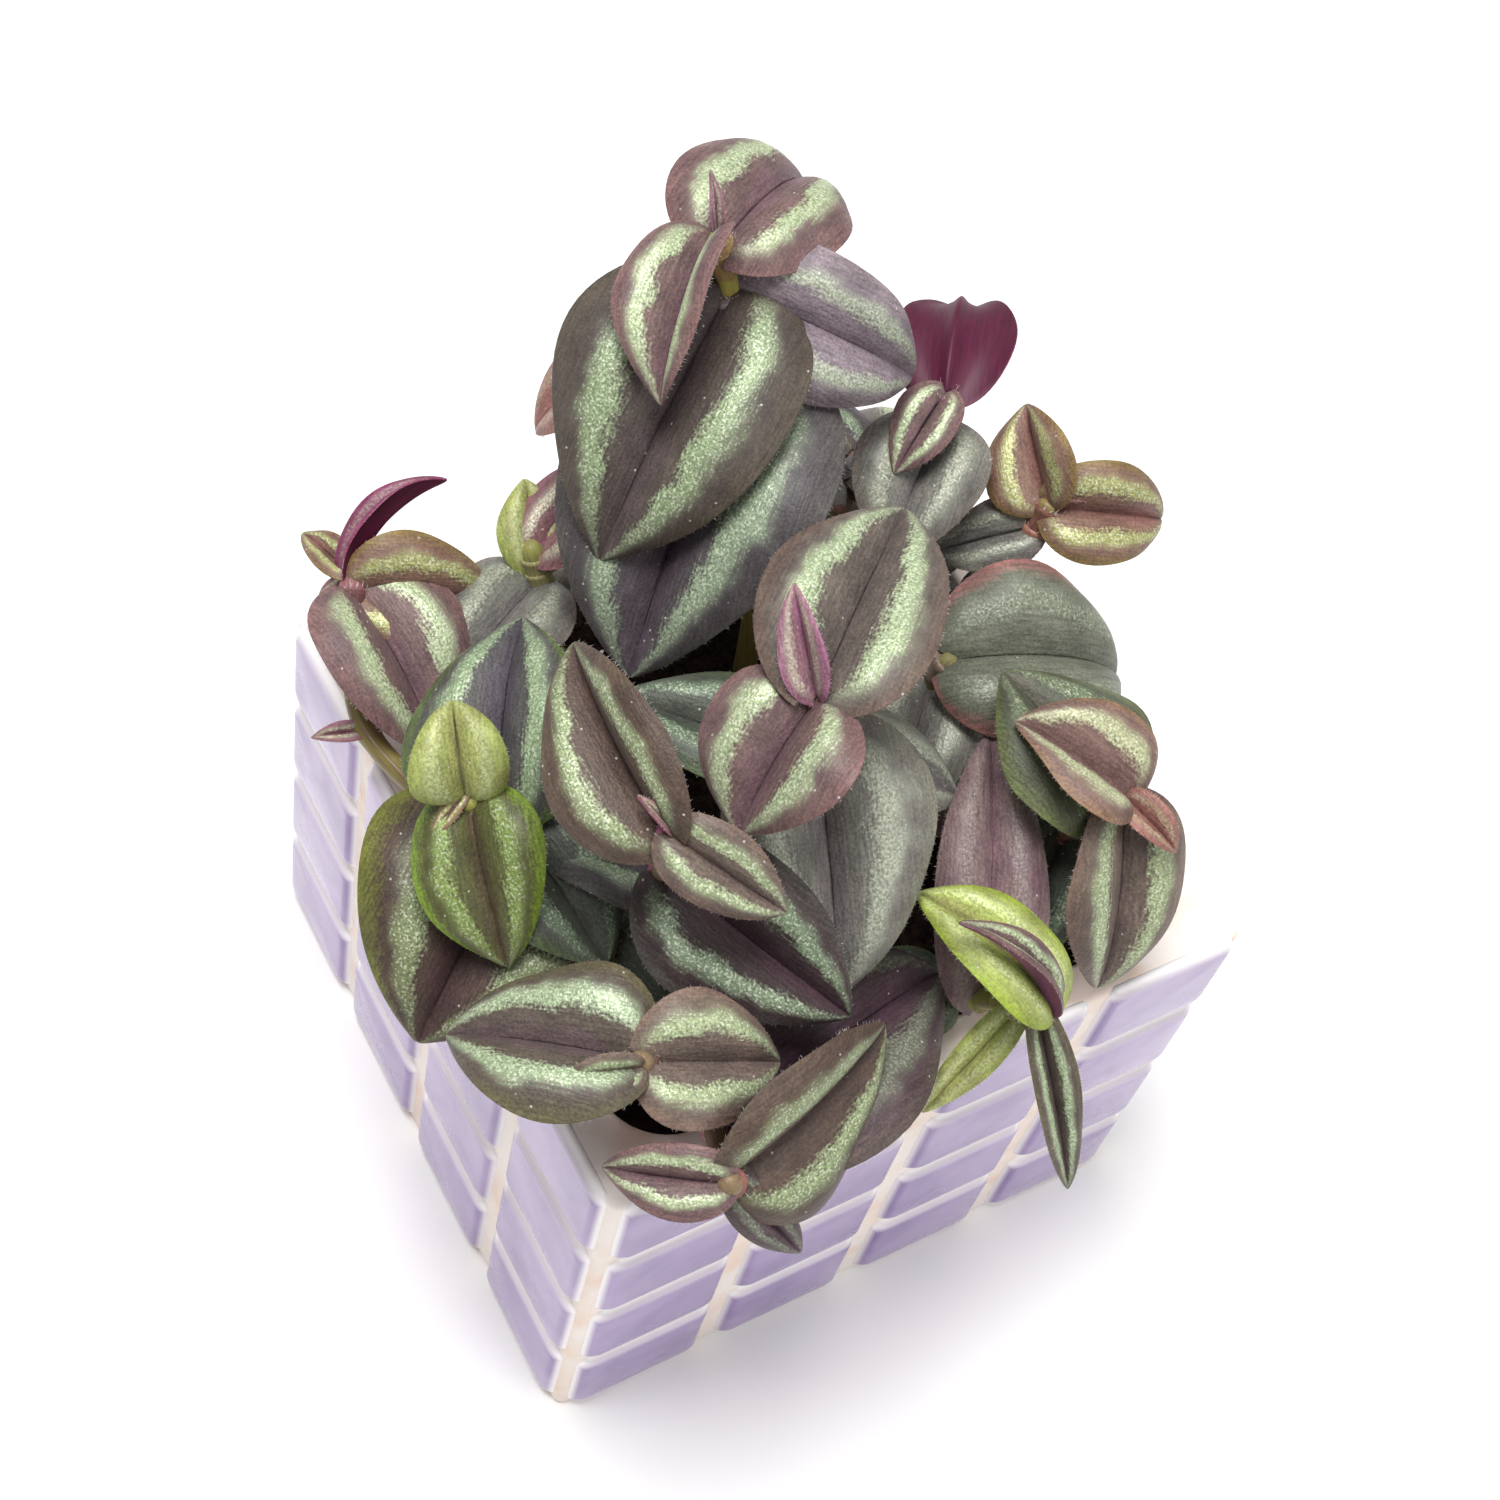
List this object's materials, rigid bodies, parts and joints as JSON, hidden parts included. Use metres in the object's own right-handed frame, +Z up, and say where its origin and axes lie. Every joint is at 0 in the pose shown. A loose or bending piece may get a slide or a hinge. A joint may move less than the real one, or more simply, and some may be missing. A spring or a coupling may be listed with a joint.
{
  "type": "potted tradescantia",
  "caption": "Small house plant with striped ovate leaves on leafy stems, in soil in a square tiled ceramic pot that stands on its flat base.",
  "frame": {"origin": "middle of the pot's flat base", "axes": "+Z up, the pot's sides square to X and Y; the picture looks from +X and -Y, at the corner between those sides"},
  "size_m": [0.123, 0.1187, 0.1382],
  "materials": {
    "glazed_pot": "gloss lilac glaze on raised tiles, matt cream body between them",
    "potting_soil": "crumbly, matt",
    "foliage": "satin leaf with two silvery bands"
  },
  "bodies": {
    "root": {"pot": "glazed_pot", "soil": "potting_soil", "stem_top": "foliage", "stem_heart": "foliage", "stem_crown": "foliage", "stem_left": "foliage", "stem_far_left": "foliage", "stem_front_left": "foliage", "stem_front": "foliage", "stem_hanging": "foliage", "stem_right": "foliage", "stem_shade": "foliage", "stem_upper_right": "foliage", "stem_far_right": "foliage", "stem_west": "foliage", "stem_back": "foliage", "stem_east": "foliage"}
  },
  "joints": []
}
